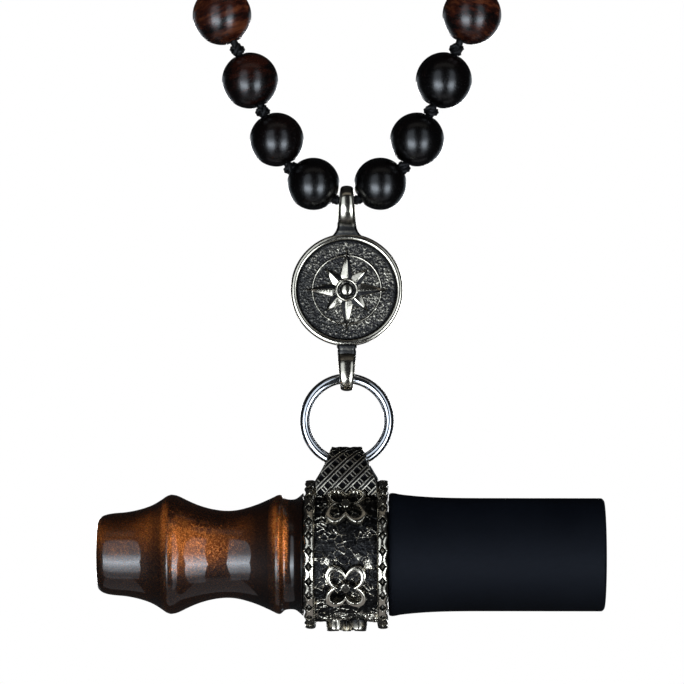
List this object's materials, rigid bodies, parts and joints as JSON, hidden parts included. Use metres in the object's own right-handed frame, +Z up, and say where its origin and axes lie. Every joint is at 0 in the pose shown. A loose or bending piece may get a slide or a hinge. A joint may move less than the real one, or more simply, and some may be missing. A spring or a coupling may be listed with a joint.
{
  "type": "personal hookah mouthpiece pendant",
  "caption": "Turned lacquered smoker's mouthpiece with a soft hose sleeve, hung by a cast collar, a jump ring and a round medallion from a knotted bead necklace.",
  "frame": {"origin": "middle of the wearer's neck, level with the knot at the nape", "axes": "+Z up, +X along the mouthpiece from its mouth end to its hose end, +Y from the pendant back towards the nape"},
  "size_m": [0.142, 0.1373, 0.285],
  "materials": {
    "pearl_lacquer": "gloss",
    "liner_steel": "satin",
    "soft_sleeve": "matte",
    "antique_silver": "satin",
    "ring_steel": "polished",
    "dark_wood": "satin",
    "waxed_string": "matte"
  },
  "bodies": {
    "necklace": {"cord_left": "waxed_string", "cord_right": "waxed_string", "nape_knot": "waxed_string", "bead_left_01": "dark_wood", "bead_left_02": "dark_wood", "bead_left_03": "dark_wood", "bead_left_04": "dark_wood", "bead_left_05": "dark_wood", "bead_left_06": "dark_wood", "bead_left_07": "dark_wood", "bead_left_08": "dark_wood", "bead_left_09": "dark_wood", "bead_left_10": "dark_wood", "bead_left_11": "dark_wood", "bead_left_12": "dark_wood", "bead_left_13": "dark_wood", "bead_left_14": "dark_wood", "bead_left_15": "dark_wood", "bead_left_16": "dark_wood", "bead_left_17": "dark_wood", "bead_left_18": "dark_wood", "bead_left_19": "dark_wood", "bead_left_20": "dark_wood", "bead_left_21": "dark_wood", "bead_left_22": "dark_wood", "bead_right_01": "dark_wood", "bead_right_02": "dark_wood", "bead_right_03": "dark_wood", "bead_right_04": "dark_wood", "bead_right_05": "dark_wood", "bead_right_06": "dark_wood", "bead_right_07": "dark_wood", "bead_right_08": "dark_wood", "bead_right_09": "dark_wood", "bead_right_10": "dark_wood", "bead_right_11": "dark_wood", "bead_right_12": "dark_wood", "bead_right_13": "dark_wood", "bead_right_14": "dark_wood", "bead_right_15": "dark_wood", "bead_right_16": "dark_wood", "bead_right_17": "dark_wood", "bead_right_18": "dark_wood", "bead_right_19": "dark_wood", "bead_right_20": "dark_wood", "bead_right_21": "dark_wood", "bead_right_22": "dark_wood"},
    "medallion": {"medallion": "antique_silver"},
    "ring": {"jump_ring": "ring_steel"},
    "collar": {"collar": "antique_silver"},
    "mouthpiece": {"mouth_body": "pearl_lacquer", "liner_tube": "liner_steel"},
    "sleeve": {"connector_sleeve": "soft_sleeve"}
  },
  "joints": [
    {"name": "medallion_swing", "type": "hinge", "parent": "necklace", "child": "medallion", "pos_m": [0, -0.06, -0.2], "axis": [1, 0, 0], "range_deg": [-75, 75]},
    {"name": "ring_turn", "type": "hinge", "parent": "medallion", "child": "ring", "pos_m": [0, -0.06, -0.2407], "axis": [0, 1, 0], "range_deg": [-45, 45]},
    {"name": "collar_swing", "type": "hinge", "parent": "ring", "child": "collar", "pos_m": [0, -0.06, -0.2485], "axis": [1, 0, 0], "range_deg": [-75, 75]},
    {"name": "mouthpiece_spin", "type": "hinge", "parent": "collar", "child": "mouthpiece", "pos_m": [0, -0.06, -0.2655], "axis": [1, 0, 0], "continuous": true},
    {"name": "sleeve_pull", "type": "slide", "parent": "mouthpiece", "child": "sleeve", "axis": [1, 0, 0], "range_m": [0, 0.03]}
  ]
}
